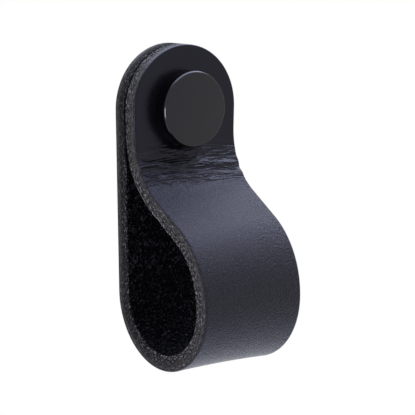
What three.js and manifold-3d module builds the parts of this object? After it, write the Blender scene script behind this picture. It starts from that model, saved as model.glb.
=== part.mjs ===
// Leather loop pull for a drawer or cabinet door, in millimetres, +Z up.
// The origin is the middle of the fixing hole on the back face, where the pull meets the door.
// The door is on the +Y side, the front of the pull faces -Y, and the loop is open to -X and +X.
import * as THREE from 'three';
import { mergeVertices } from 'three/addons/utils/BufferGeometryUtils.js';
import Module from 'manifold-3d';

// Leather strap
const END_WIDTH = 30;
const LOOP_WIDTH = 27.5;
const LEATHER_THICKNESS = 3.7;
const PLY_GAP = 0.2;

// Side shape of the loop, all radii on the smooth outer face
const LOOP_DROP = 43;
const BEND_RADIUS = 16.6;
const BELLY_RADIUS = 21.5;
const NECK_RADIUS = 17;
const SHOULDER_ANGLE = 33;

// Knob
const KNOB_DIAMETER = 18;
const KNOB_HEAD_THICKNESS = 3.8;
const KNOB_EDGE_RADIUS = 0.5;
const BARREL_DIAMETER = 8;
const BARREL_SETBACK = 0.6;
const BARREL_CHAMFER = 0.4;
const BORE_DIAMETER = 4.2;
const BORE_DEPTH_IN_HEAD = 1.6;
const BORE_COUNTERSINK = 0.5;
const FIT_CLEARANCE = 0.3;

// Fixing screw, run into the knob as far as it goes
const SCREW_LENGTH = 18;
const SCREW_HEAD_DIAMETER = 8;
const SCREW_HEAD_HEIGHT = 2.4;
const SCREW_HEAD_RIM = 1.2;
const SCREW_TIP_CHAMFER = 0.5;
const SCREW_TIP_GAP = 0.5;
const RECESS_SPAN = 4.2;
const RECESS_SLOT = 0.9;
const RECESS_DEPTH = 1.3;

// Facets
const BEND_SEGMENTS = 14;
const END_SEGMENTS = 64;
const HOLE_SEGMENTS = 48;
const KNOB_SEGMENTS = 96;
const EDGE_SEGMENTS = 5;
const CUT_MARGIN = 1;

const clampThickness = 2 * LEATHER_THICKNESS + PLY_GAP;
const endRadius = END_WIDTH / 2;
const knobRadius = KNOB_DIAMETER / 2;
const barrelRadius = BARREL_DIAMETER / 2;
const boreRadius = BORE_DIAMETER / 2;
const shoulder = THREE.MathUtils.degToRad(SHOULDER_ANGLE);

const wasm = await Module();
wasm.setup();

// Closed geometry as a solid for joining and cutting
function toSolid(geometry) {
  const bare = geometry.clone();
  bare.deleteAttribute('normal');
  bare.deleteAttribute('uv');
  const merged = mergeVertices(bare, 1e-5);
  return new wasm.Manifold(new wasm.Mesh({
    numProp: 3,
    vertProperties: new Float32Array(merged.attributes.position.array),
    triVerts: new Uint32Array(merged.index.array),
  }));
}

// Solid back to a geometry with flat facets
function toGeometry(solid) {
  const mesh = solid.getMesh();
  const indexed = new THREE.BufferGeometry();
  indexed.setAttribute('position', new THREE.BufferAttribute(new Float32Array(mesh.vertProperties), 3));
  indexed.setIndex(new THREE.BufferAttribute(new Uint32Array(mesh.triVerts), 1));
  const faceted = indexed.toNonIndexed();
  faceted.computeVertexNormals();
  return faceted;
}

// Outline drawn in (y, z) and extruded evenly to both sides of the middle plane
function extrudeAcross(shape, width) {
  const geometry = new THREE.ExtrudeGeometry(shape, {
    depth: width,
    bevelEnabled: false,
    curveSegments: BEND_SEGMENTS,
  });
  geometry.translate(0, 0, -width / 2);
  const toWorld = new THREE.Matrix4().makeBasis(
    new THREE.Vector3(0, 1, 0),
    new THREE.Vector3(0, 0, 1),
    new THREE.Vector3(1, 0, 0),
  );
  return geometry.applyMatrix4(toWorld);
}

// Outline drawn in (x, z) and extruded from yFront back to yBack
function extrudeBack(shape, yFront, yBack, segments) {
  const geometry = new THREE.ExtrudeGeometry(shape, {
    depth: yBack - yFront,
    bevelEnabled: false,
    curveSegments: segments,
  });
  geometry.rotateX(Math.PI / 2);
  return geometry.translate(0, yBack, 0);
}

// Cylinder along Y between two y values
function cylinderAlongY(radius, yFront, yBack, segments) {
  const geometry = new THREE.CylinderGeometry(radius, radius, yBack - yFront, segments);
  return geometry.translate(0, (yFront + yBack) / 2, 0);
}

// Side view of the loop. Every arc is given by its centre and its radius on the outer face.
// Going round from the back ply: lower bend, belly, straight shoulder, neck, front ply.
function loopArcs() {
  const bend = { y: -BEND_RADIUS, z: -LOOP_DROP };
  const belly = { y: BELLY_RADIUS - 2 * BEND_RADIUS, z: -LOOP_DROP };
  const bellyEnd = {
    y: belly.y - BELLY_RADIUS * Math.sin(shoulder),
    z: belly.z + BELLY_RADIUS * Math.cos(shoulder),
  };
  const neckY = -clampThickness - NECK_RADIUS;
  const neckStartY = neckY + NECK_RADIUS * Math.sin(shoulder);
  const neckStartZ = bellyEnd.z + (neckStartY - bellyEnd.y) * Math.tan(shoulder);
  const neck = { y: neckY, z: neckStartZ + NECK_RADIUS * Math.cos(shoulder) };
  return { bend, belly, neck };
}

// Closed side profile: the outer face down and round, then the inner face back
function loopProfile() {
  const { bend, belly, neck } = loopArcs();
  const t = LEATHER_THICKNESS;
  const top = endRadius + CUT_MARGIN;
  const shoulderOut = Math.PI / 2 + shoulder;
  const shoulderIn = shoulder - Math.PI / 2;
  const profile = new THREE.Shape();
  profile.moveTo(0, top);
  profile.lineTo(0, bend.z);
  profile.absarc(bend.y, bend.z, BEND_RADIUS, 0, -Math.PI, true);
  profile.absarc(belly.y, belly.z, BELLY_RADIUS, Math.PI, shoulderOut, true);
  profile.absarc(neck.y, neck.z, NECK_RADIUS, shoulderIn, 0, false);
  profile.lineTo(-clampThickness, top);
  profile.lineTo(-clampThickness + t, top);
  profile.absarc(neck.y, neck.z, NECK_RADIUS + t, 0, shoulderIn, true);
  profile.absarc(belly.y, belly.z, BELLY_RADIUS - t, shoulderOut, Math.PI, false);
  profile.absarc(bend.y, bend.z, BEND_RADIUS - t, -Math.PI, 0, false);
  profile.lineTo(-t, top);
  profile.closePath();
  return profile;
}

// Front view of the strap: a round end on the hole's axis, and sides that close in towards the bend
function strapOutline() {
  const lowest = LOOP_DROP + BEND_RADIUS;
  const lean = Math.asin((endRadius - LOOP_WIDTH / 2) / lowest);
  const bottom = lowest + CUT_MARGIN;
  const halfAtBottom = (endRadius - bottom * Math.sin(lean)) / Math.cos(lean);
  const outline = new THREE.Shape();
  outline.moveTo(-halfAtBottom, -bottom);
  outline.lineTo(halfAtBottom, -bottom);
  outline.absarc(0, 0, endRadius, lean, Math.PI - lean, false);
  outline.closePath();
  return outline;
}

// One leather strap, folded so that both round ends lie on each other under the knob
function makeStrap() {
  const loop = toSolid(extrudeAcross(loopProfile(), END_WIDTH + 2 * CUT_MARGIN));
  const front = -2 * BEND_RADIUS - CUT_MARGIN;
  const outline = toSolid(extrudeBack(strapOutline(), front, CUT_MARGIN, END_SEGMENTS / 2));
  const holeRadius = barrelRadius + FIT_CLEARANCE;
  const holeFront = -clampThickness - CUT_MARGIN;
  const hole = toSolid(cylinderAlongY(holeRadius, holeFront, CUT_MARGIN, HOLE_SEGMENTS));
  const seatRadius = knobRadius + FIT_CLEARANCE;
  const seat = toSolid(cylinderAlongY(seatRadius, front, -clampThickness, KNOB_SEGMENTS));
  return toGeometry(loop.intersect(outline).subtract(hole).subtract(seat));
}

// Round stretch of a turned profile, as points of radius and y
function profileArc(centreRadius, centreY, radius, startAngle, endAngle) {
  const points = [];
  for (let i = 0; i <= EDGE_SEGMENTS; i++) {
    const angle = startAngle + ((endAngle - startAngle) * i) / EDGE_SEGMENTS;
    const r = centreRadius + radius * Math.cos(angle);
    const y = centreY + radius * Math.sin(angle);
    points.push(new THREE.Vector2(r, y));
  }
  return points;
}

// Turned metal knob: flat head in front, barrel through both plies, blind threaded bore from behind
function makeKnob() {
  const face = -clampThickness - KNOB_HEAD_THICKNESS;
  const boreEnd = -clampThickness - BORE_DEPTH_IN_HEAD;
  const barrelEnd = -BARREL_SETBACK;
  const edgeCentreY = face + KNOB_EDGE_RADIUS;
  const edgeCentreRadius = knobRadius - KNOB_EDGE_RADIUS;
  const profile = [
    new THREE.Vector2(0, face),
    ...profileArc(edgeCentreRadius, edgeCentreY, KNOB_EDGE_RADIUS, -Math.PI / 2, 0),
    new THREE.Vector2(knobRadius, -clampThickness),
    new THREE.Vector2(barrelRadius, -clampThickness),
    new THREE.Vector2(barrelRadius, barrelEnd - BARREL_CHAMFER),
    new THREE.Vector2(barrelRadius - BARREL_CHAMFER, barrelEnd),
    new THREE.Vector2(boreRadius + BORE_COUNTERSINK, barrelEnd),
    new THREE.Vector2(boreRadius, barrelEnd - BORE_COUNTERSINK),
    new THREE.Vector2(boreRadius, boreEnd),
    new THREE.Vector2(0, boreEnd),
  ];
  return new THREE.LatheGeometry(profile, KNOB_SEGMENTS);
}

// Cross recess in the screw's head
function crossRecess(headTop) {
  const depth = RECESS_DEPTH + CUT_MARGIN;
  const middle = headTop - RECESS_DEPTH + depth / 2;
  const flat = new THREE.BoxGeometry(RECESS_SPAN, depth, RECESS_SLOT).translate(0, middle, 0);
  const upright = new THREE.BoxGeometry(RECESS_SLOT, depth, RECESS_SPAN).translate(0, middle, 0);
  return toSolid(flat).add(toSolid(upright));
}

// Pan-head machine screw; its thread is as wide as the bore less the clearance
function makeScrew() {
  const tip = -clampThickness - BORE_DEPTH_IN_HEAD + SCREW_TIP_GAP;
  const underHead = tip + SCREW_LENGTH;
  const headTop = underHead + SCREW_HEAD_HEIGHT;
  const shankRadius = boreRadius - FIT_CLEARANCE;
  const headRadius = SCREW_HEAD_DIAMETER / 2;
  const domeHeight = SCREW_HEAD_HEIGHT - SCREW_HEAD_RIM;
  const domeRadius = (headRadius ** 2 + domeHeight ** 2) / (2 * domeHeight);
  const domeStart = Math.acos(headRadius / domeRadius);
  const profile = [
    new THREE.Vector2(0, tip),
    new THREE.Vector2(shankRadius - SCREW_TIP_CHAMFER, tip),
    new THREE.Vector2(shankRadius, tip + SCREW_TIP_CHAMFER),
    new THREE.Vector2(shankRadius, underHead),
    new THREE.Vector2(headRadius, underHead),
    ...profileArc(0, headTop - domeRadius, domeRadius, domeStart, Math.PI / 2),
  ];
  profile[profile.length - 1].x = 0;
  const body = toSolid(new THREE.LatheGeometry(profile, HOLE_SEGMENTS));
  return toGeometry(body.subtract(crossRecess(headTop)));
}

const leather = new THREE.MeshStandardMaterial({ color: '#2b2a33', roughness: 0.55, metalness: 0 });
const blackMetal = new THREE.MeshStandardMaterial({ color: '#1c1b1e', roughness: 0.4, metalness: 0.6 });
const steel = new THREE.MeshStandardMaterial({ color: '#b8bbc0', roughness: 0.3, metalness: 1 });

function named(name, geometry, material) {
  const mesh = new THREE.Mesh(geometry, material);
  mesh.name = name;
  return mesh;
}

const group = new THREE.Group();
group.name = 'leather_loop_pull';
group.add(named('strap', makeStrap(), leather));
group.add(named('knob', makeKnob(), blackMetal));
group.add(named('fixing_screw', makeScrew(), steel));

export default group;
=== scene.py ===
from math import asin, cos, exp, hypot, pi, radians, sin

import bmesh
import bpy
from mathutils import Matrix, Vector, noise


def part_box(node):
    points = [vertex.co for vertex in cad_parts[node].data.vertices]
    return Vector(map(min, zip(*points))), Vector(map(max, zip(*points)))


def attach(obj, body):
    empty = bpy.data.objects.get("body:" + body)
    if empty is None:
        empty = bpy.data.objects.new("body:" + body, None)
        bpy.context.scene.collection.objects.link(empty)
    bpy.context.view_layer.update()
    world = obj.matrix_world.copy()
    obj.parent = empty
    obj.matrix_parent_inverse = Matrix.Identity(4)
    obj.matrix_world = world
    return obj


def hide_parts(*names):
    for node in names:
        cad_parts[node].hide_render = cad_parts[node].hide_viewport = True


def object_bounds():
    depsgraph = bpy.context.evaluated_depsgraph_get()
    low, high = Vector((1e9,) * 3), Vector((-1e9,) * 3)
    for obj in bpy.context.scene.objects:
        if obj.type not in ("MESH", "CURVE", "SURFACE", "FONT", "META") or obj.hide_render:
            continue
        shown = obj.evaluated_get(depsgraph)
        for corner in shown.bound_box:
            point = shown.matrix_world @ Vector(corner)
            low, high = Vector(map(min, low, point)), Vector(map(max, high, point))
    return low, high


bl_info = {
    "name": "Leather loop pull",
    "version": (1, 0, 0),
    "blender": (4, 5, 0),
    "location": "View3D > Sidebar > Loop pull",
    "description": "Models a folded leather cabinet pull with its knob and fixing screw",
    "category": "Object",
}

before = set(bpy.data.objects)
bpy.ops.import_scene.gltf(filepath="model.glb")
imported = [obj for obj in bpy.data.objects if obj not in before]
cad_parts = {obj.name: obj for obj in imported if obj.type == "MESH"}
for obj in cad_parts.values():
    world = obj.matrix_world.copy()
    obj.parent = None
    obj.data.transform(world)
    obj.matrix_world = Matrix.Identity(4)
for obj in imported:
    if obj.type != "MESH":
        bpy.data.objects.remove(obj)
CAD_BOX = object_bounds()
STRAP_LOW, STRAP_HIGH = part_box("strap")
KNOB_LOW, KNOB_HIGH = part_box("knob")
SCREW_LOW, SCREW_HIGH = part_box("fixing_screw")

MM = 0.001
BODY = "root"
# Points closer than this, in metres, are one point
NEAR = 1e-6


# Settings

class StrapSettings(bpy.types.PropertyGroup):
    """Sizes and colours of the leather strap."""

    thickness: bpy.props.FloatProperty(
        name="Leather thickness", description="Thickness of the strap all over",
        default=3.7 * MM, unit="LENGTH", precision=5)
    ply_gap: bpy.props.FloatProperty(
        name="Gap between the ends", description="Air between the two stacked round ends",
        default=0.2 * MM, unit="LENGTH", precision=5)
    loop_width: bpy.props.FloatProperty(
        name="Width at the loop", description="Width of the strap at the lowest point of the loop",
        default=27.5 * MM, unit="LENGTH", precision=5)
    loop_drop: bpy.props.FloatProperty(
        name="Loop drop", description="Height of the hole above the middle of the lower bend",
        default=43 * MM, unit="LENGTH", precision=5)
    belly_radius: bpy.props.FloatProperty(
        name="Belly radius", description="Radius of the smooth face above the lower bend",
        default=21.5 * MM, unit="LENGTH", precision=5)
    neck_radius: bpy.props.FloatProperty(
        name="Neck radius", description="Radius of the smooth face where the loop leaves the knob",
        default=17 * MM, unit="LENGTH", precision=5)
    shoulder_angle: bpy.props.FloatProperty(
        name="Shoulder angle", description="Slope of the straight stretch between belly and neck",
        default=radians(33), subtype="ANGLE")
    hole_clearance: bpy.props.FloatProperty(
        name="Hole clearance", description="Room all round the knob's barrel",
        default=0.3 * MM, unit="LENGTH", precision=5)
    edge_round: bpy.props.FloatProperty(
        name="Edge rounding", description="Radius of the pressed edges",
        default=0.35 * MM, unit="LENGTH", precision=5)
    crease_depth: bpy.props.FloatProperty(
        name="Crease depth", description="Depth of the folds across the neck",
        default=0.26 * MM, unit="LENGTH", precision=5)
    nap_depth: bpy.props.FloatProperty(
        name="Nap depth", description="Height of the lumps of the rough inner face",
        default=0.2 * MM, unit="LENGTH", precision=5)
    saddle_depth: bpy.props.FloatProperty(
        name="Saddle depth", description="How far the middle of the lower bend lies inside its edges",
        default=0.3 * MM, unit="LENGTH", precision=5)
    grain_colour: bpy.props.StringProperty(
        name="Grain colour", description="sRGB hex of the smooth black face", default="#100f14")
    edge_colour: bpy.props.StringProperty(
        name="Edge colour", description="sRGB hex of the bare cut edge", default="#3f3d3d")
    # The flesh colour is painted on the crests of the nap as a highlight
    flesh_lit_crest_colour: bpy.props.StringProperty(
        name="Flesh colour", description="sRGB hex of the rough inner face", default="#484850")


class KnobSettings(bpy.types.PropertyGroup):
    """Sizes and colour of the turned knob."""

    barrel_diameter: bpy.props.FloatProperty(
        name="Barrel diameter", description="Diameter of the barrel that goes through the leather",
        default=8 * MM, unit="LENGTH", precision=5)
    bore_diameter: bpy.props.FloatProperty(
        name="Bore diameter", description="Diameter of the blind bore for the screw",
        default=4.2 * MM, unit="LENGTH", precision=5)
    bore_depth_in_head: bpy.props.FloatProperty(
        name="Bore depth in the head", description="How far the bore goes on into the head",
        default=1.6 * MM, unit="LENGTH", precision=5)
    chamfer_depth: bpy.props.FloatProperty(
        name="Chamfer depth", description="Length of the chamfer round the face, along the axis",
        default=0.42 * MM, unit="LENGTH", precision=5)
    chamfer_width: bpy.props.FloatProperty(
        name="Chamfer width", description="Width of the chamfer round the face, across the axis",
        default=0.27 * MM, unit="LENGTH", precision=5)
    colour: bpy.props.StringProperty(
        name="Colour", description="sRGB hex of the satin black coating", default="#020202")


class ScrewSettings(bpy.types.PropertyGroup):
    """Sizes and colour of the fixing screw."""

    thread_diameter: bpy.props.FloatProperty(
        name="Thread diameter", description="Outer diameter of the thread",
        default=3.9 * MM, unit="LENGTH", precision=5)
    pitch: bpy.props.FloatProperty(
        name="Pitch", description="Distance from thread to thread",
        default=0.7 * MM, unit="LENGTH", precision=5)
    thread_depth: bpy.props.FloatProperty(
        name="Thread depth", description="Depth of the groove between threads",
        default=0.38 * MM, unit="LENGTH", precision=5)
    head_height: bpy.props.FloatProperty(
        name="Head height", description="Height of the pan head",
        default=2.4 * MM, unit="LENGTH", precision=5)
    head_rim: bpy.props.FloatProperty(
        name="Head rim", description="Height of the straight rim under the dome",
        default=1.2 * MM, unit="LENGTH", precision=5)
    recess_span: bpy.props.FloatProperty(
        name="Recess span", description="Length of each arm pair of the cross recess",
        default=4.2 * MM, unit="LENGTH", precision=5)
    recess_slot: bpy.props.FloatProperty(
        name="Recess slot", description="Width of the arms of the cross recess",
        default=0.9 * MM, unit="LENGTH", precision=5)
    recess_depth: bpy.props.FloatProperty(
        name="Recess depth", description="Depth of the cross recess",
        default=1.3 * MM, unit="LENGTH", precision=5)
    colour: bpy.props.StringProperty(
        name="Colour", description="sRGB hex of the zinc plate", default="#c6c8cc")


class StageSettings(bpy.types.PropertyGroup):
    """Camera, lamps and floor."""

    azimuth: bpy.props.FloatProperty(
        name="Azimuth", description="Camera's turn from the front, less than 0 to the left",
        default=radians(-38.92), subtype="ANGLE")
    elevation: bpy.props.FloatProperty(
        name="Elevation", description="Camera's height above the horizon",
        default=radians(8.69), subtype="ANGLE")
    distance: bpy.props.FloatProperty(
        name="Distance", description="From the camera to the middle of the view",
        default=453.7 * MM, unit="LENGTH", precision=5)
    roll: bpy.props.FloatProperty(
        name="Roll", description="Camera's turn about its own line of view",
        default=radians(0.25), subtype="ANGLE")
    lens: bpy.props.FloatProperty(
        name="Lens", description="Focal length for a 36 mm wide sensor", default=163.9,
        unit="CAMERA")
    target: bpy.props.FloatVectorProperty(
        name="Middle of the view", description="Point that the camera looks at",
        default=(7.79 * MM, -6.29 * MM, -24.50 * MM), subtype="TRANSLATION", precision=5)
    floor_drop: bpy.props.FloatProperty(
        name="Floor drop", description="Height of the pull above the floor",
        default=300 * MM, unit="LENGTH", precision=5)
    ambient: bpy.props.FloatProperty(
        name="Surroundings", description="Strength of the even light from all round",
        default=0.32)
    top_power: bpy.props.FloatProperty(
        name="Top light", description="Power of the large soft light overhead",
        default=10.8, unit="POWER")
    side_power: bpy.props.FloatProperty(
        name="Side light", description="Power of the narrow light on the left",
        default=1.2, unit="POWER")
    top_colour: bpy.props.StringProperty(
        name="Top light colour", description="sRGB hex of the overhead light", default="#d7e2ff")
    light_colour: bpy.props.StringProperty(
        name="Light colour", description="sRGB hex of the side light and the surroundings",
        default="#f8f7ff")
    floor_colour: bpy.props.StringProperty(
        name="Floor colour", description="sRGB hex of the floor", default="#f2f2f2")


class LoopPullSettings(bpy.types.PropertyGroup):
    """All settings of the leather loop pull."""

    strap: bpy.props.PointerProperty(
        type=StrapSettings, name="Strap", description="The folded leather strap")
    knob: bpy.props.PointerProperty(
        type=KnobSettings, name="Knob", description="The turned metal knob")
    screw: bpy.props.PointerProperty(
        type=ScrewSettings, name="Screw", description="The fixing screw")
    stage: bpy.props.PointerProperty(
        type=StageSettings, name="Stage", description="Camera, lamps and floor")


# Colours and nodes

# Settings that many nodes share
SMOOTH = {"interpolation_type": "SMOOTHSTEP"}
OF_COLOURS = {"data_type": "RGBA"}
TIMES = {"operation": "MULTIPLY"}
TIMES_PLUS = {"operation": "MULTIPLY_ADD"}
LARGER = {"operation": "MAXIMUM"}


def linear(hex_colour):
    """sRGB hex as the linear colour that sockets take, with an alpha of 1."""
    channels = [int(hex_colour[i:i + 2], 16) / 255 for i in (1, 3, 5)]
    lit = [c / 12.92 if c <= 0.04045 else ((c + 0.055) / 1.055) ** 2.4 for c in channels]
    return (*lit, 1.0)


def add_node(tree, kind, settings=None, inputs=None):
    """Adds a node. An input given as (node, output) is linked, and any other value is set."""
    node = tree.nodes.new(kind)
    for name, value in (settings or {}).items():
        setattr(node, name, value)
    for name, value in (inputs or {}).items():
        if isinstance(value, tuple) and isinstance(value[0], bpy.types.Node):
            tree.links.new(value[0].outputs[value[1]], node.inputs[name])
        else:
            node.inputs[name].default_value = value
    return node


def new_material(name):
    """Empty material with its output node."""
    material = bpy.data.materials.new(name)
    material.use_nodes = True
    tree = material.node_tree
    tree.nodes.clear()
    return material, tree, tree.nodes.new("ShaderNodeOutputMaterial")


def leather_place(tree):
    """Place on the flat strap before it was folded, in mm: across, along and depth under the grain."""
    metres = add_node(tree, "ShaderNodeAttribute", {"attribute_name": "leather_place"})
    mm = add_node(tree, "ShaderNodeVectorMath", {"operation": "SCALE"},
                  {0: (metres, "Vector"), "Scale": 1 / MM})
    return (mm, "Vector")


# Materials

def grain_leather(strap, neck_end):
    """Full-grain cowhide, pigmented black and plated smooth: cool sheen over a fine pebble grain."""
    material, tree, output = new_material("pigmented_cowhide_grain")
    place = leather_place(tree)
    axes = add_node(tree, "ShaderNodeSeparateXYZ", None, {"Vector": place})
    # Pebble of the plated grain in cells of 0.45 mm, coarser than the real ones so that it shows
    pebble = add_node(tree, "ShaderNodeTexVoronoi", {"feature": "SMOOTH_F1"},
                      {"Vector": place, "Scale": 2.2, "Smoothness": 0.5, "Randomness": 1.0})
    # Hair cells and fine wrinkles, 0.4 mm and less
    hair_cells = add_node(tree, "ShaderNodeTexNoise", None,
                          {"Vector": place, "Scale": 2.6, "Detail": 4.0, "Roughness": 0.7})
    # Fine wavy folds across the neck, about 1.2 mm apart and 8 mm long
    fold_place = add_node(tree, "ShaderNodeMapping", {"vector_type": "POINT"}, {
        "Vector": place, "Scale": (0.14, 0.9, 1.0)})
    folds = add_node(tree, "ShaderNodeTexNoise", {
        "noise_type": "RIDGED_MULTIFRACTAL", "normalize": True}, {
        "Vector": (fold_place, "Vector"), "Scale": 0.9, "Detail": 2.5, "Roughness": 0.55,
        "Lacunarity": 2.1, "Offset": 1.0, "Gain": 1.2, "Distortion": 0.6})
    last = neck_end / MM
    fold_in = add_node(tree, "ShaderNodeMapRange", SMOOTH, {
        "Value": (axes, "Y"), "From Min": last - 14.5, "From Max": last - 12.0,
        "To Min": 0.0, "To Max": 1.0})
    fold_out = add_node(tree, "ShaderNodeMapRange", SMOOTH, {
        "Value": (axes, "Y"), "From Min": last - 6, "From Max": last - 1.5,
        "To Min": 1.0, "To Max": 0.0})
    in_folds = add_node(tree, "ShaderNodeMath", TIMES, {
        0: (fold_in, "Result"), 1: (fold_out, "Result")})
    # Faint clouds in the black, 6 mm across
    cloud = add_node(tree, "ShaderNodeTexNoise", None,
                     {"Vector": place, "Scale": 0.16, "Detail": 4.0, "Roughness": 0.55})
    clouded = add_node(tree, "ShaderNodeMix", OF_COLOURS, {
        0: (cloud, "Fac"), "A": linear("#0a090c"), "B": linear(strap.grain_colour)})
    rough = add_node(tree, "ShaderNodeMapRange", None, {
        "Value": (hair_cells, "Fac"), "From Min": 0.3, "From Max": 0.7, "To Min": 0.20, "To Max": 0.27})
    # The grain stands up along the loop, and lies nearly flat on the upper neck and round the knob
    opened = add_node(tree, "ShaderNodeMapRange", SMOOTH, {
        "Value": (axes, "Y"), "From Min": last - 17, "From Max": last - 6,
        "To Min": 1.0, "To Max": 0.14})
    # The pigment is thinner on the tops of the grain
    tops = add_node(tree, "ShaderNodeMapRange", SMOOTH, {
        "Value": (hair_cells, "Fac"), "From Min": 0.5, "From Max": 0.64, "To Min": 0.0, "To Max": 1.0})
    thin = add_node(tree, "ShaderNodeMath", TIMES, {
        0: (tops, "Result"), 1: (opened, "Result")})
    colour = add_node(tree, "ShaderNodeMix", OF_COLOURS, {
        0: (thin, "Value"), "A": (clouded, "Result"), "B": linear("#2e2d36")})
    soft = add_node(tree, "ShaderNodeBump", None, {
        "Strength": (opened, "Result"), "Distance": 0.13 * MM, "Height": (pebble, "Distance")})
    fine = add_node(tree, "ShaderNodeBump", None, {
        "Strength": (opened, "Result"), "Distance": 0.18 * MM, "Height": (hair_cells, "Fac"),
        "Normal": (soft, "Normal")})
    bump = add_node(tree, "ShaderNodeBump", None, {
        "Strength": (in_folds, "Value"), "Distance": 0.2 * MM, "Height": (folds, "Fac"),
        "Normal": (fine, "Normal")})
    shader = add_node(tree, "ShaderNodeBsdfPrincipled", None, {
        "Base Color": (colour, "Result"), "Roughness": (rough, "Result"), "IOR": 1.5,
        "Specular IOR Level": 0.31, "Specular Tint": linear("#cdcbea"), "Normal": (bump, "Normal")})
    tree.links.new(shader.outputs["BSDF"], output.inputs["Surface"])
    return material


def cut_edge_leather(strap, neck_end):
    """Bare cut edge of dyed leather: matt grey fibre ends, tight by the grain, loose by the flesh."""
    material, tree, output = new_material("raw_cut_leather_edge")
    place = leather_place(tree)
    axes = add_node(tree, "ShaderNodeSeparateXYZ", None, {"Vector": place})
    last = neck_end / MM
    # The fibres loosen between 0.7 and 2.2 mm under the grain
    loose = add_node(tree, "ShaderNodeMapRange", SMOOTH, {
        "Value": (axes, "Z"), "From Min": 0.7, "From Max": 2.2, "To Min": 0.15, "To Max": 1.0})
    # Layers of fibres that run along the strap, about 0.3 mm apart
    layer_place = add_node(tree, "ShaderNodeMapping", {"vector_type": "POINT"}, {
        "Vector": place, "Scale": (1.0, 0.8, 3.6)})
    layers = add_node(tree, "ShaderNodeTexNoise", None, {
        "Vector": (layer_place, "Vector"), "Scale": 1.0, "Detail": 4.0, "Roughness": 0.65,
        "Distortion": 0.5})
    # Ends of fibre bundles, 0.3 mm deep and 0.7 mm long, coarser than the real ones so that they show
    end_place = add_node(tree, "ShaderNodeMapping", {"vector_type": "POINT"}, {
        "Vector": place, "Scale": (2.2, 1.5, 3.0)})
    ends = add_node(tree, "ShaderNodeTexNoise", None, {
        "Vector": (end_place, "Vector"), "Scale": 1.0, "Detail": 3.0, "Roughness": 0.65,
        "Distortion": 0.6})
    fibres = add_node(tree, "ShaderNodeMix", {"data_type": "FLOAT"}, {
        0: (loose, "Result"), "A": (layers, "Fac"), "B": (ends, "Fac")})
    shade = add_node(tree, "ShaderNodeMapRange", SMOOTH, {
        "Value": (fibres, "Result"), "From Min": 0.42, "From Max": 0.50, "To Min": 0.0, "To Max": 1.0})
    light = add_node(tree, "ShaderNodeMapRange", SMOOTH, {
        "Value": (fibres, "Result"), "From Min": 0.54, "From Max": 0.64, "To Min": 0.0, "To Max": 1.0})
    # Lighter from the lower bend up the front, and close under the grain
    toward_front = add_node(tree, "ShaderNodeMapRange", SMOOTH, {
        "Value": (axes, "Y"), "From Min": 50.0, "From Max": 95.0, "To Min": 0.0, "To Max": 1.0})
    tight = add_node(tree, "ShaderNodeMath", {"operation": "SUBTRACT"}, {0: 1.0, 1: (loose, "Result")})
    lighter_ground_share = add_node(tree, "ShaderNodeMath", LARGER, {
        0: (toward_front, "Result"), 1: (tight, "Value")})
    ground = add_node(tree, "ShaderNodeMix", OF_COLOURS, {
        0: (lighter_ground_share, "Value"), "A": linear("#1a1a1c"), "B": linear(strap.edge_colour)})
    dark_to_mid = add_node(tree, "ShaderNodeMix", OF_COLOURS, {
        0: (shade, "Result"), "A": linear("#101011"), "B": (ground, "Result")})
    # Frayed fibres along the flesh-side corner
    frayed = add_node(tree, "ShaderNodeMapRange", SMOOTH, {
        "Value": (axes, "Z"), "From Min": 2.9, "From Max": 3.4, "To Min": 0.55, "To Max": 1.0})
    frayed_light = add_node(tree, "ShaderNodeMath", TIMES, {
        0: (light, "Result"), 1: (frayed, "Result")})
    fibres_frontward = add_node(tree, "ShaderNodeMath", TIMES_PLUS, {
        0: (toward_front, "Result"), 1: 0.6, 2: 0.4})
    fibres_frontward_light = add_node(tree, "ShaderNodeMath", TIMES, {
        0: (frayed_light, "Value"), 1: (fibres_frontward, "Value")})
    # The knob holds both ends on each other: fewer loose fibres, and painted shade as a dark ragged
    # line along the gap between them
    front_end = add_node(tree, "ShaderNodeMapRange", SMOOTH, {
        "Value": (axes, "Y"), "From Min": last - 10, "From Max": last - 3,
        "To Min": 0.0, "To Max": 1.0})
    back_end = add_node(tree, "ShaderNodeMapRange", SMOOTH, {
        "Value": (axes, "Y"), "From Min": 8.0, "From Max": 18.0, "To Min": 1.0, "To Max": 0.0})
    held = add_node(tree, "ShaderNodeMath", LARGER, {
        0: (front_end, "Result"), 1: (back_end, "Result")})
    free = add_node(tree, "ShaderNodeMath", TIMES_PLUS, {
        0: (held, "Value"), 1: -0.3, 2: 1.0})
    fibre_share = add_node(tree, "ShaderNodeMath", TIMES, {
        0: (fibres_frontward_light, "Value"), 1: (free, "Value")})
    bare_colour = add_node(tree, "ShaderNodeMix", OF_COLOURS, {
        0: (fibre_share, "Value"), "A": (dark_to_mid, "Result"), "B": linear("#b8b4b2")})
    ragged = add_node(tree, "ShaderNodeMath", TIMES_PLUS, {
        0: (ends, "Fac"), 1: -1.6, 2: (axes, "Z")})
    by_painted_gap_shade = add_node(tree, "ShaderNodeMapRange", SMOOTH, {
        "Value": (ragged, "Value"), "From Min": 2.3, "From Max": 2.7, "To Min": 0.0, "To Max": 0.9})
    painted_gap_shade = add_node(tree, "ShaderNodeMath", TIMES, {
        0: (held, "Value"), 1: (by_painted_gap_shade, "Result")})
    # Painted shade: near-black along the flesh-side corner, where the gap between the stacked ends lies
    fibre_colour = add_node(tree, "ShaderNodeMix", OF_COLOURS, {
        0: (painted_gap_shade, "Value"), "A": (bare_colour, "Result"), "B": linear("#060607")})
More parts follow.
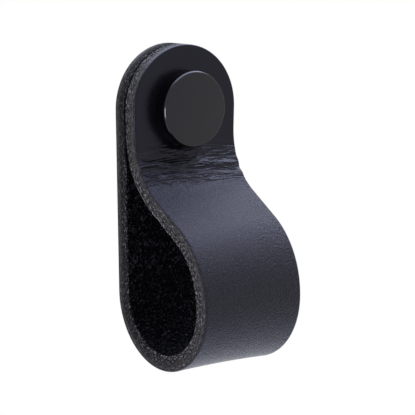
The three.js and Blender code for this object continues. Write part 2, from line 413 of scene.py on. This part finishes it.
    # The film of black finish seen end-on, about 0.5 mm deep here so that it shows
    film = add_node(tree, "ShaderNodeMapRange", SMOOTH, {
        "Value": (axes, "Z"), "From Min": 0.42, "From Max": 0.62, "To Min": 0.8, "To Max": 0.0})
    colour = add_node(tree, "ShaderNodeMix", OF_COLOURS, {
        0: (film, "Result"), "A": (fibre_colour, "Result"), "B": linear("#0d0d12")})
    rough = add_node(tree, "ShaderNodeMapRange", None, {
        "Value": (loose, "Result"), "To Min": 0.42, "To Max": 0.9})
    bump = add_node(tree, "ShaderNodeBump", None, {
        "Strength": (loose, "Result"), "Distance": 0.3 * MM, "Height": (fibres, "Result")})
    shader = add_node(tree, "ShaderNodeBsdfPrincipled", None, {
        "Base Color": (colour, "Result"), "Roughness": (rough, "Result"), "IOR": 1.45,
        "Specular IOR Level": 0.12, "Normal": (bump, "Normal")})
    tree.links.new(shader.outputs["BSDF"], output.inputs["Surface"])
    return material


def flesh_leather(strap):
    """Flesh side of the hide: matt black, a worm-like nap with painted highlights on its ridges and
    painted shade in its hollows.
    """
    material, tree, output = new_material("rough_flesh_side")
    place = leather_place(tree)
    # Worm-like ridges, 0.5 to 1 mm apart, where a smooth noise crosses its middle value
    swell = add_node(tree, "ShaderNodeTexNoise", None, {
        "Vector": place, "Scale": 0.95, "Detail": 1.0, "Roughness": 0.5, "Distortion": 0.4})
    middle = add_node(tree, "ShaderNodeMath", {"operation": "SUBTRACT"}, {0: (swell, "Fac"), 1: 0.5})
    worms = add_node(tree, "ShaderNodeMath", {"operation": "ABSOLUTE"}, {0: (middle, "Value")})
    # Fuzz of 0.3 mm and less
    fuzz = add_node(tree, "ShaderNodeTexNoise", None,
                    {"Vector": place, "Scale": 3.5, "Detail": 4.0, "Roughness": 0.7})
    crest = add_node(tree, "ShaderNodeMapRange", SMOOTH, {
        "Value": (worms, "Value"), "From Min": 0.0, "From Max": 0.052, "To Min": 1.0, "To Max": 0.0})
    height = add_node(tree, "ShaderNodeMath", TIMES_PLUS, {
        0: (fuzz, "Fac"), 1: 0.35, 2: (crest, "Result")})
    # Painted light and shade: the crests get the lighter flesh colour as a painted highlight, and the
    # hollows near-black as painted shade
    colour = add_node(tree, "ShaderNodeMix", OF_COLOURS, {
        0: (crest, "Result"), "A": linear("#020203"), "B": linear(strap.flesh_lit_crest_colour)})
    bump = add_node(tree, "ShaderNodeBump", None, {
        "Strength": 1.0, "Distance": 0.5 * MM, "Height": (height, "Value")})
    shader = add_node(tree, "ShaderNodeBsdfPrincipled", None, {
        "Base Color": (colour, "Result"), "Roughness": 0.9, "IOR": 1.45, "Specular IOR Level": 0.04,
        "Normal": (bump, "Normal")})
    tree.links.new(shader.outputs["BSDF"], output.inputs["Surface"])
    return material


def satin_black_coating(knob):
    """Satin black lacquer on turned metal: deep black, with an even half-matt sheen on the face."""
    material, tree, output = new_material("satin_black_lacquer")
    place = add_node(tree, "ShaderNodeTexCoord")
    # Orange peel of 0.8 mm
    peel = add_node(tree, "ShaderNodeTexNoise", None,
                    {"Vector": (place, "Object"), "Scale": 1250.0, "Detail": 2.0})
    bump = add_node(tree, "ShaderNodeBump", None, {
        "Strength": 0.1, "Distance": 0.003 * MM, "Height": (peel, "Fac")})
    rough = add_node(tree, "ShaderNodeMapRange", None, {
        "Value": (peel, "Fac"), "To Min": 0.17, "To Max": 0.20})
    shader = add_node(tree, "ShaderNodeBsdfPrincipled", None, {
        "Base Color": linear(knob.colour), "Roughness": (rough, "Result"), "IOR": 1.5,
        "Specular IOR Level": 0.4, "Specular Tint": linear("#f6f1ff"), "Normal": (bump, "Normal")})
    tree.links.new(shader.outputs["BSDF"], output.inputs["Surface"])
    return material


def zinc_plated_steel(screw):
    """Bright zinc plate on a cold-headed steel screw: clear metal with a faint cloudy haze."""
    material, tree, output = new_material("zinc_plated_steel")
    place = add_node(tree, "ShaderNodeTexCoord")
    # Clouds of 1.4 mm in the plate
    haze = add_node(tree, "ShaderNodeTexNoise", None,
                    {"Vector": (place, "Object"), "Scale": 700.0, "Detail": 3.0})
    rough = add_node(tree, "ShaderNodeMapRange", None, {
        "Value": (haze, "Fac"), "To Min": 0.22, "To Max": 0.36})
    shader = add_node(tree, "ShaderNodeBsdfPrincipled", None, {
        "Base Color": linear(screw.colour), "Metallic": 1.0, "Roughness": (rough, "Result")})
    tree.links.new(shader.outputs["BSDF"], output.inputs["Surface"])
    return material


# Side line of the folded strap

# Places in fold_line's list of the lower bend, the belly and the flat front end
BEND, BELLY, FLAT_FRONT = 1, 2, 5


def clamped_depth(strap):
    """Depth of both stacked ends with the air between them."""
    return 2 * strap.thickness + strap.ply_gap


def fold_line(strap):
    """Stretches of the grain face from the back hole to the front one, and the length between them.

    A stretch is its start along the line, y and z there, its heading and its curvature.
    """
    bend = (STRAP_HIGH.y - STRAP_LOW.y) / 2
    clamp = clamped_depth(strap)
    turn = pi / 2 - strap.shoulder_angle
    belly_end = strap.belly_radius * (1 - sin(strap.shoulder_angle)) - 2 * bend
    neck_start = -clamp - strap.neck_radius * (1 - sin(strap.shoulder_angle))
    shoulder = (neck_start - belly_end) / cos(strap.shoulder_angle)
    stretches = [
        (strap.loop_drop, 0.0),
        (pi * bend, -1 / bend),
        (turn * strap.belly_radius, -1 / strap.belly_radius),
        (shoulder, 0.0),
        (turn * strap.neck_radius, 1 / strap.neck_radius),
    ]
    line = []
    start, y, z, heading = 0.0, 0.0, 0.0, -pi / 2
    for length, curvature in stretches:
        line.append((start, y, z, heading, curvature))
        y, z, heading = along_stretch(y, z, heading, curvature, length)
        start += length
    line.append((start, y, z, heading, 0.0))
    return line, start - z


def along_stretch(y, z, heading, curvature, length):
    """Place and heading after a length of one stretch."""
    if curvature == 0:
        return y + length * cos(heading), z + length * sin(heading), heading
    end = heading + curvature * length
    y += (sin(end) - sin(heading)) / curvature
    z -= (cos(end) - cos(heading)) / curvature
    return y, z, end


def point_on_line(line, s):
    """Point (y, z) on the grain face at s, and the direction out of the leather there."""
    stretch = line[0]
    for candidate in line[1:]:
        if candidate[0] <= s:
            stretch = candidate
    start, y, z, heading, curvature = stretch
    y, z, heading = along_stretch(y, z, heading, curvature, s - start)
    return y, z, -sin(heading), cos(heading)


def strap_half_width(strap, z):
    """Half width of the strap at a height: full at the round ends and narrower down to the bend."""
    end_radius = STRAP_HIGH.z
    drop = -STRAP_LOW.z
    lean = asin((end_radius - strap.loop_width / 2) / drop)
    return min((end_radius + min(z, 0.0) * sin(lean)) / cos(lean), STRAP_HIGH.x)


# Mesh helpers

def finish_mesh(bm, name, materials, slot, *nodes, smooth_angle=radians(35)):
    """Makes a piece of a finished bmesh, which rides on the body and stands for the CAD nodes."""
    for face in bm.faces:
        face.smooth = True
    for edge in bm.edges:
        edge.smooth = edge.is_manifold and edge.calc_face_angle(0.0) < smooth_angle
    mesh = bpy.data.meshes.new(name)
    bm.to_mesh(mesh)
    bm.free()
    for material in materials:
        mesh.materials.append(material)
    piece = bpy.data.objects.new(name, mesh)
    bpy.context.scene.collection.objects.link(piece)
    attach(piece, BODY)
    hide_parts(*nodes)


def turn_profile(points, steps):
    """Solid turned about the Y axis from a profile of (radius, y) points that starts and ends on it."""
    bm = bmesh.new()
    verts = [bm.verts.new((r, y, 0)) for r, y in points]
    edges = [bm.edges.new(pair) for pair in zip(verts, verts[1:])]
    bmesh.ops.spin(bm, geom=verts + edges, cent=(0, 0, 0), axis=(0, 1, 0), angle=2 * pi,
                   steps=steps, use_merge=True)
    bmesh.ops.remove_doubles(bm, verts=bm.verts, dist=NEAR)
    bmesh.ops.recalc_face_normals(bm, faces=bm.faces)
    return bm


def bevel_rings(bm, rings, radius, segments):
    """Rounds the turned edges that run at each (radius, y)."""
    edges = []
    for ring_radius, ring_y in rings:
        for edge in bm.edges:
            ends = [(hypot(v.co.x, v.co.z), v.co.y) for v in edge.verts]
            if all(abs(r - ring_radius) < NEAR and abs(y - ring_y) < NEAR for r, y in ends):
                edges.append(edge)
    bmesh.ops.bevel(bm, geom=edges, offset=radius, offset_type="OFFSET", segments=segments,
                    profile=0.5, affect="EDGES", material=-1)


# Flat strap, as it is die-cut

# Steps round a hole, rings from its rim to the outline, length of a row, cuts down the edge, and
# segments of a rounded rim
HOLE_STEPS = 224
END_RINGS = 22
ROW_LENGTH = 0.5 * MM
EDGE_CUTS = 7
RIM_SEGMENTS = 3
# Places of the materials on the strap
GRAIN, EDGE, FLESH = 0, 1, 2


def square_off_lower_half(verts, radius):
    """Moves the lower half of a ring out onto straight sides and a straight lower line."""
    for vert in verts:
        if vert.co.y < -NEAR:
            reach = radius / max(abs(vert.co.x), abs(vert.co.y))
            vert.co *= reach


def flat_strap_end(end_radius, hole_radius):
    """Round end with its hole: rings that go from the hole's rim out to the cut outline."""
    bm = bmesh.new()
    rim = bmesh.ops.create_circle(bm, segments=HOLE_STEPS, radius=hole_radius)["verts"]
    outline = bmesh.ops.create_circle(bm, segments=HOLE_STEPS, radius=end_radius)["verts"]
    square_off_lower_half(outline, end_radius)
    bmesh.ops.bridge_loops(bm, edges=bm.edges[:])
    on_rim = set(rim)
    spokes = [e for e in bm.edges if len(on_rim.intersection(e.verts)) == 1]
    bmesh.ops.subdivide_edges(bm, edges=spokes, cuts=END_RINGS, use_grid_fill=True)
    return bm


def flat_strap(end_radius, hole_radius, hole_to_hole):
    """Flat strap in x (across) and y (along), with a round end and a hole at both ends."""
    bm = flat_strap_end(end_radius, hole_radius)
    lower = [e for e in bm.edges if all(abs(v.co.y + end_radius) < NEAR for v in e.verts)]
    half = hole_to_hole / 2 - end_radius
    grown = bmesh.ops.extrude_edge_only(bm, edges=lower)["geom"]
    moved = [g for g in grown if isinstance(g, bmesh.types.BMVert)]
    bmesh.ops.translate(bm, verts=moved, vec=(0, -half, 0))
    long_edges = [e for e in bm.edges if abs(abs(e.verts[0].co.y - e.verts[1].co.y) - half) < NEAR]
    bmesh.ops.subdivide_edges(bm, edges=long_edges, cuts=round(half / ROW_LENGTH), use_grid_fill=True)
    bmesh.ops.translate(bm, verts=bm.verts, vec=(0, hole_to_hole / 2, 0))
    bmesh.ops.mirror(bm, geom=bm.verts[:] + bm.edges[:] + bm.faces[:], matrix=Matrix.Identity(4),
                     merge_dist=NEAR, axis="Y")
    bmesh.ops.recalc_face_normals(bm, faces=bm.faces)
    if bm.faces[:][0].normal.z < 0:
        bmesh.ops.reverse_faces(bm, faces=bm.faces)
    return bm


def thicken(bm, thickness, edge_round):
    """Gives the flat strap its thickness below the grain face at z = 0, and rounds its rims."""
    grain = bm.faces[:]
    grown = bmesh.ops.extrude_face_region(bm, geom=grain, use_keep_orig=True)["geom"]
    flesh = [g for g in grown if isinstance(g, bmesh.types.BMFace)]
    flesh_verts = [g for g in grown if isinstance(g, bmesh.types.BMVert)]
    bmesh.ops.translate(bm, verts=flesh_verts, vec=(0, 0, -thickness))
    bmesh.ops.recalc_face_normals(bm, faces=bm.faces)
    grain_set, flesh_set = set(grain), set(flesh)
    for face in bm.faces:
        face.material_index = GRAIN if face in grain_set else FLESH if face in flesh_set else EDGE
    upright = [e for e in bm.edges if abs(e.verts[0].co.z - e.verts[1].co.z) > NEAR]
    bmesh.ops.subdivide_edges(bm, edges=upright, cuts=EDGE_CUTS, use_grid_fill=True)
    for level, material in ((0, GRAIN), (-thickness, EDGE)):
        rims = [e for e in bm.edges if e.is_manifold and e.calc_face_angle() > radians(60)
                and all(abs(v.co.z - level) < NEAR for v in e.verts)]
        bmesh.ops.bevel(bm, geom=rims, offset=edge_round, offset_type="OFFSET",
                        segments=RIM_SEGMENTS, profile=0.5, affect="EDGES", material=material)


# Relief of the leather

# Creased stretch of the neck, from and to these distances below the flat end, and the length
# over which the creases fade at both ends of it
CREASE_FROM, CREASE_TO, CREASE_FADE = 14 * MM, 3.5 * MM, 3 * MM
# Main folds there: distance below the flat end and half width in mm, and height as a share of the
# crease depth, less than 0 in a fold and more than 0 on the roll below it
NECK_FOLDS = ((5.9, 0.9, -0.8), (7.8, 1.0, 1.5), (9.5, 0.8, -1.1), (11.0, 0.9, 1.1))
# Share of the thickness that the relief of either face reaches into
RELIEF_REACH = 0.4


def neck_share(neck_end, s):
    """1 along the upper neck, where the leather is creased, and 0 away from it."""
    inside = min(s - (neck_end - CREASE_FROM), neck_end - CREASE_TO - s) / CREASE_FADE
    return min(max(inside, 0.0), 1.0)


def bend_share(line, s):
    """1 at the middle of the lower bend and 0 at both ends of it."""
    start, end = line[BEND][0], line[BELLY][0]
    t = (s - start) / (end - start)
    return sin(pi * t) if 0 < t < 1 else 0.0


def crease_height(x, s, neck_end):
    """Relief of the neck as a share of the crease depth: the main folds and rolls, and finer ones."""
    # The last number of each Vector only picks another layer of the noise
    wander = 1.1 * MM * noise.noise(Vector((x / (9 * MM), s / (12 * MM), 1.7)))
    below = neck_end - s + wander
    main = 0.0
    for middle, width, height in NECK_FOLDS:
        away = (below / MM - middle) / width
        main += height * exp(-away * away)
    strength = 0.75 + 0.5 * noise.noise(Vector((x / (7 * MM), below / (9 * MM), 4.9)))
    fine = noise.noise(Vector((x / (6 * MM), below / (1.5 * MM), 7.1)))
    fine_share = 0.35
    return strength * main + fine_share * (2 * abs(fine) ** 0.7 - 1)


def nap_height(x, s):
    """Lumps of the flesh side, about 1 mm across: -1 to 1."""
    lump = 0.9 * MM
    return noise.noise(Vector((x / lump, s / lump, 3.7)))


def relief(strap, line, x, s, depth):
    """How far a point stands out of the plain folded strap, towards the grain side."""
    reach = RELIEF_REACH * strap.thickness
    in_flesh = min(max((depth - (1 - RELIEF_REACH) * strap.thickness) / reach, 0.0), 1.0)
    in_grain = 1 - min(depth / reach, 1.0)
    across = x / STRAP_HIGH.x
    saddle = -strap.saddle_depth * bend_share(line, s) * (1 - across * across)
    neck_end = line[FLAT_FRONT][0]
    creases = strap.crease_depth * neck_share(neck_end, s) * crease_height(x, s, neck_end) * in_grain
    nap = -strap.nap_depth * in_flesh * nap_height(x, s)
    return saddle + creases + nap


def press_under_knob(point, strap):
    """Keeps the leather flat under the knob's head, and lets it stand up again outside the rim."""
    flat = -clamped_depth(strap)
    margin = 0.1 * MM
    rise_width = 0.8 * MM
    lowest = -1.5 * KNOB_HIGH.z
    beyond = hypot(point.x, point.z) - KNOB_HIGH.z - margin
    give = min(max(beyond / rise_width, 0.0), 1.0)
    if point.y < flat and point.z > lowest:
        point.y = flat + give * (point.y - flat)


def fold(bm, strap, line):
    """Folds the flat strap round its side line, and keeps each point's flat place for the patterns."""
    place = bm.verts.layers.float_vector.new("leather_place")
    for vert in bm.verts:
        x, s, depth = vert.co.x, vert.co.y, -vert.co.z
        y, z, out_y, out_z = point_on_line(line, s)
        width = strap_half_width(strap, z) / STRAP_HIGH.z
        rise = relief(strap, line, x, s, depth) - depth
        vert[place] = (x, s, depth)
        vert.co = (x * width, y + rise * out_y, z + rise * out_z)
        press_under_knob(vert.co, strap)


def build_strap(strap, knob):
    """The folded leather strap."""
    line, hole_to_hole = fold_line(strap)
    hole_radius = knob.barrel_diameter / 2 + strap.hole_clearance
    bm = flat_strap(STRAP_HIGH.z, hole_radius, hole_to_hole)
    thicken(bm, strap.thickness, strap.edge_round)
    bmesh.ops.translate(bm, verts=bm.verts, vec=(0, hole_to_hole / 2, 0))
    fold(bm, strap, line)
    neck_end = line[FLAT_FRONT][0]
    materials = [grain_leather(strap, neck_end), cut_edge_leather(strap, neck_end),
                 flesh_leather(strap)]
    finish_mesh(bm, "leather_strap", materials, "leather", "strap", smooth_angle=radians(50))


# Knob and screw

# Steps round the axis, rows of the shank for each turn of thread, and sides of the dome's profile
KNOB_STEPS = 160
SCREW_STEPS = 48
ROWS_PER_TURN = 9
DOME_SIDES = 8
# Slivers that the cut leaves, up to this wide, are closed
SLIVER = 0.002 * MM


def build_knob(knob, strap):
    """The turned knob: flat round head, barrel through the leather and blind bore."""
    radius = KNOB_HIGH.z
    barrel = knob.barrel_diameter / 2
    bore = knob.bore_diameter / 2
    under_head = -clamped_depth(strap)
    bore_end = under_head - knob.bore_depth_in_head
    face, end = KNOB_LOW.y, KNOB_HIGH.y
    face_ring = (radius - knob.chamfer_width, face)
    rim_ring = (radius, face + knob.chamfer_depth)
    back_ring = (radius, under_head)
    barrel_ring = (barrel, end)
    bore_ring = (bore, end)
    profile = [(0, face), face_ring, rim_ring, back_ring, (barrel, under_head), barrel_ring,
               bore_ring, (bore, bore_end), (0, bore_end)]
    bm = turn_profile(profile, KNOB_STEPS)
    for rings, rounding, segments in (
        ((face_ring, rim_ring), 0.1 * MM, 4),
        ((back_ring,), 0.15 * MM, 2),
        ((barrel_ring, bore_ring), 0.3 * MM, 3),
    ):
        bevel_rings(bm, rings, rounding, segments)
    finish_mesh(bm, "knob_head_and_barrel", [satin_black_coating(knob)], "black_metal", "knob")


def cut_thread(bm, screw, core, tip, under_head):
    """Presses a helical thread into the rows of the turned shank."""
    for vert in bm.verts:
        radius = hypot(vert.co.x, vert.co.z)
        on_shank = abs(radius - core) < NEAR and vert.co.y < under_head - NEAR
        if not on_shank:
            continue
        turn = Vector((vert.co.x, vert.co.z)).angle_signed(Vector((1, 0))) / (2 * pi)
        phase = ((vert.co.y - tip) / screw.pitch + turn) % 1
        height = 1 - abs(2 * phase - 1)
        runout = min(1.0, (under_head - vert.co.y) / screw.pitch, (vert.co.y - tip) / screw.pitch)
        grown = core + screw.thread_depth * height * max(runout, 0.0)
        vert.co.x *= grown / radius
        vert.co.z *= grown / radius


def cross_cutter(screw, head_top):
    """Tapered cross that cuts the recess."""
    bm = bmesh.new()
    above_head = 1 * MM
    bottom_taper = (0.45, 1, 0.7)
    depth = screw.recess_depth + above_head
    middle = head_top - screw.recess_depth + depth / 2
    for quarter in (0, pi / 2):
        arm = bmesh.ops.create_cube(bm, size=1)["verts"]
        bmesh.ops.scale(bm, verts=arm, vec=(screw.recess_span, depth, screw.recess_slot))
        deep = [v for v in arm if v.co.y < 0]
        bmesh.ops.scale(bm, verts=deep, vec=bottom_taper)
        bmesh.ops.translate(bm, verts=arm, vec=(0, middle, 0))
        bmesh.ops.rotate(bm, verts=arm, cent=(0, 0, 0), matrix=Matrix.Rotation(quarter, 3, "Y"))
    return bm


def cut_out(bm, cutter_bm):
    """The first mesh with the second one cut out of it."""
    objects = []
    for source in (bm, cutter_bm):
        mesh = bpy.data.meshes.new("cutting")
        source.to_mesh(mesh)
        source.free()
        objects.append(bpy.data.objects.new("cutting", mesh))
        bpy.context.scene.collection.objects.link(objects[-1])
    blank, cutter = objects
    cut = blank.modifiers.new("cut", "BOOLEAN")
    cut.operation = "DIFFERENCE"
    cut.solver = "EXACT"
    cut.use_self = True
    cut.object = cutter
    evaluated = blank.evaluated_get(bpy.context.evaluated_depsgraph_get())
    result = bmesh.new()
    result.from_mesh(evaluated.to_mesh())
    evaluated.to_mesh_clear()
    bmesh.ops.remove_doubles(result, verts=result.verts, dist=SLIVER)
    bmesh.ops.dissolve_degenerate(result, edges=result.edges, dist=SLIVER)
    for leftover in objects:
        mesh = leftover.data
        bpy.data.objects.remove(leftover)
        bpy.data.meshes.remove(mesh)
    return result


def build_screw(screw):
    """The pan-head machine screw with its rolled thread and cross recess."""
    tip = SCREW_LOW.y
    head_radius = SCREW_HIGH.z
    core = screw.thread_diameter / 2 - screw.thread_depth
    head_top = SCREW_HIGH.y
    dome_height = screw.head_height - screw.head_rim
    dome_radius = (head_radius ** 2 + dome_height ** 2) / (2 * dome_height)
    under_head = head_top - screw.head_height
    dome_middle = head_top - dome_radius
    dome_start = pi / 2 - asin(head_radius / dome_radius)
    rows = round((under_head - tip) / screw.pitch * ROWS_PER_TURN)
    shank = [(core, tip + (under_head - tip) * i / rows) for i in range(rows + 1)]
    dome = []
    for i in range(DOME_SIDES + 1):
        angle = dome_start + (pi / 2 - dome_start) * i / DOME_SIDES
        dome.append((dome_radius * cos(angle), dome_middle + dome_radius * sin(angle)))
    dome[-1] = (0, dome[-1][1])
    bm = turn_profile([(0, tip)] + shank + [(head_radius, under_head)] + dome, SCREW_STEPS)
    cut_thread(bm, screw, core, tip, under_head)
    bm = cut_out(bm, cross_cutter(screw, head_top))
    finish_mesh(bm, "m4_fixing_screw", [zinc_plated_steel(screw)], "screw_steel", "fixing_screw",
                smooth_angle=radians(40))


# Stage

SENSOR_WIDTH_MM = 36
# Lamps: place from the middle of the pull, and width and height, in metres
TOP_LIGHT_PLACE, TOP_LIGHT_SIZE = (0.12, 0.12, 0.55), (1.0, 0.8)
SIDE_LIGHT_PLACE, SIDE_LIGHT_SIZE = (-0.59, -0.155, -0.07), (0.08, 0.24)
FLOOR_RADIUS = 3.0
FLOOR_STEPS = 96


def add_soft_light(name, place, aim, size, power, colour):
    """Soft rectangular lamp that the camera doesn't see, placed from the point that it shines at."""
    light = bpy.data.lights.new(name, "AREA")
    light.shape = "RECTANGLE"
    light.size, light.size_y = size
    light.energy = power
    light.color = linear(colour)[:3]
    lamp = bpy.data.objects.new(name, light)
    lamp.location = aim + Vector(place)
    lamp.rotation_euler = (aim - lamp.location).to_track_quat("-Z", "Y").to_euler()
    lamp.visible_camera = False
    bpy.context.scene.collection.objects.link(lamp)


def add_camera(stage):
    """Camera at the photograph's viewing angle."""
    data = bpy.data.cameras.new("camera")
    data.sensor_width = SENSOR_WIDTH_MM
    data.lens = stage.lens
    data.clip_start = 10 * MM
    camera = bpy.data.objects.new("camera", data)
    direction = view_direction(stage)
    camera.location = Vector(stage.target) + stage.distance * direction
    aimed = (-direction).to_track_quat("-Z", "Y").to_matrix()
    camera.rotation_euler = (aimed @ Matrix.Rotation(stage.roll, 3, "Z")).to_euler()
    bpy.context.scene.collection.objects.link(camera)
    bpy.context.scene.camera = camera


def view_direction(stage):
    """Unit vector from the pull to the camera."""
    return Vector((sin(stage.azimuth) * cos(stage.elevation),
                   -cos(stage.azimuth) * cos(stage.elevation), sin(stage.elevation)))


def shows_background(tree):
    """1 for the rays that show the background: from the camera, off gloss and through glass."""
    path = add_node(tree, "ShaderNodeLightPath")
    off_gloss = add_node(tree, "ShaderNodeMath", LARGER, {
        0: (path, "Is Camera Ray"), 1: (path, "Is Glossy Ray")})
    return add_node(tree, "ShaderNodeMath", LARGER, {
        0: (off_gloss, "Value"), 1: (path, "Is Transmission Ray")})


def add_world(stage):
    """Even light from all round, with plain white where the background shows."""
    world = bpy.data.worlds.new("plain_white_studio")
    world.use_nodes = True
    tree = world.node_tree
    tree.nodes.clear()
    lit = add_node(tree, "ShaderNodeBackground", None, {
        "Color": linear(stage.light_colour), "Strength": stage.ambient})
    seen = add_node(tree, "ShaderNodeBackground", None, {"Color": linear("#ffffff"), "Strength": 1.0})
    mixed = add_node(tree, "ShaderNodeMixShader", None, {
        0: (shows_background(tree), "Value"), 1: (lit, "Background"), 2: (seen, "Background")})
    output = add_node(tree, "ShaderNodeOutputWorld")
    tree.links.new(mixed.outputs["Shader"], output.inputs["Surface"])
    bpy.context.scene.world = world


def matt_white_paper(stage):
    """Matt white studio paper: takes the pull's soft shadow, and fades to plain white further off."""
    material, tree, output = new_material("matt_white_paper")
    shader = add_node(tree, "ShaderNodeBsdfPrincipled", None, {
        "Base Color": linear(stage.floor_colour), "Roughness": 0.9, "Specular IOR Level": 0.1})
    place = add_node(tree, "ShaderNodeTexCoord")
    away = add_node(tree, "ShaderNodeVectorMath", {"operation": "LENGTH"}, {0: (place, "Object")})
    far = add_node(tree, "ShaderNodeMapRange", SMOOTH, {
        "Value": (away, "Value"), "From Min": 0.4, "From Max": 0.9, "To Min": 0.0, "To Max": 1.0})
    # Makes up what the lit paper lacks to be white
    lift = add_node(tree, "ShaderNodeEmission", None, {"Color": linear("#ffffff"), "Strength": 0.3})
    near_paper = add_node(tree, "ShaderNodeAddShader", None, {
        0: (shader, "BSDF"), 1: (lift, "Emission")})
    plain = add_node(tree, "ShaderNodeEmission", None, {"Color": linear("#ffffff"), "Strength": 1.0})
    seen = add_node(tree, "ShaderNodeMixShader", None, {
        0: (far, "Result"), 1: (near_paper, "Shader"), 2: (plain, "Emission")})
    mixed = add_node(tree, "ShaderNodeMixShader", None, {
        0: (shows_background(tree), "Value"), 1: (shader, "BSDF"), 2: (seen, "Shader")})
    tree.links.new(mixed.outputs["Shader"], output.inputs["Surface"])
    return material


def add_floor(stage):
    """Round white floor some way under the pull."""
    bm = bmesh.new()
    bmesh.ops.create_circle(bm, cap_ends=True, segments=FLOOR_STEPS, radius=FLOOR_RADIUS)
    bmesh.ops.translate(bm, verts=bm.verts, vec=(0, 0, CAD_BOX[0].z - stage.floor_drop))
    mesh = bpy.data.meshes.new("floor")
    bm.to_mesh(mesh)
    bm.free()
    mesh.materials.append(matt_white_paper(stage))
    floor = bpy.data.objects.new("floor", mesh)
    bpy.context.scene.collection.objects.link(floor)


# Operators and panel

class LOOPPULL_OT_stage(bpy.types.Operator):
    """Adds the camera, the soft lamps, the white background and the floor"""

    bl_idname = "looppull.stage"
    bl_label = "Add stage"

    def execute(self, context):
        stage = context.scene.loop_pull.stage
        context.scene.view_settings.view_transform = "Standard"
        middle = (CAD_BOX[0] + CAD_BOX[1]) / 2
        add_camera(stage)
        add_world(stage)
        add_floor(stage)
        add_soft_light("top_light", TOP_LIGHT_PLACE, middle, TOP_LIGHT_SIZE,
                       stage.top_power, stage.top_colour)
        add_soft_light("side_light", SIDE_LIGHT_PLACE, middle, SIDE_LIGHT_SIZE,
                       stage.side_power, stage.light_colour)
        return {"FINISHED"}


class LOOPPULL_OT_strap(bpy.types.Operator):
    """Makes the folded leather strap"""

    bl_idname = "looppull.strap"
    bl_label = "Make strap"

    def execute(self, context):
        settings = context.scene.loop_pull
        build_strap(settings.strap, settings.knob)
        return {"FINISHED"}


class LOOPPULL_OT_knob(bpy.types.Operator):
    """Makes the turned knob"""

    bl_idname = "looppull.knob"
    bl_label = "Make knob"

    def execute(self, context):
        settings = context.scene.loop_pull
        build_knob(settings.knob, settings.strap)
        return {"FINISHED"}


class LOOPPULL_OT_screw(bpy.types.Operator):
    """Makes the fixing screw"""

    bl_idname = "looppull.screw"
    bl_label = "Make screw"

    def execute(self, context):
        build_screw(context.scene.loop_pull.screw)
        return {"FINISHED"}


class LOOPPULL_PT_panel(bpy.types.Panel):
    """Lists the settings and the makers of the leather loop pull"""

    bl_idname = "LOOPPULL_PT_panel"
    bl_label = "Leather loop pull"
    bl_space_type = "VIEW_3D"
    bl_region_type = "UI"
    bl_category = "Loop pull"

    def draw(self, context):
        settings = context.scene.loop_pull
        for title, group, operator in (
            ("Stage", settings.stage, "looppull.stage"),
            ("Strap", settings.strap, "looppull.strap"),
            ("Knob", settings.knob, "looppull.knob"),
            ("Screw", settings.screw, "looppull.screw"),
        ):
            box = self.layout.box()
            box.label(text=title)
            for name in group.__annotations__:
                box.prop(group, name)
            box.operator(operator)


CLASSES = (
    StrapSettings, KnobSettings, ScrewSettings, StageSettings, LoopPullSettings,
    LOOPPULL_OT_stage, LOOPPULL_OT_strap, LOOPPULL_OT_knob, LOOPPULL_OT_screw, LOOPPULL_PT_panel,
)


def register():
    for cls in CLASSES:
        bpy.utils.register_class(cls)
    bpy.types.Scene.loop_pull = bpy.props.PointerProperty(type=LoopPullSettings)


def unregister():
    del bpy.types.Scene.loop_pull
    for cls in reversed(CLASSES):
        bpy.utils.unregister_class(cls)


def main():
    register()
    bpy.ops.looppull.stage()
    bpy.ops.looppull.strap()
    bpy.ops.looppull.knob()
    bpy.ops.looppull.screw()
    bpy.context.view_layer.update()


if __name__ == "__main__":
    main()
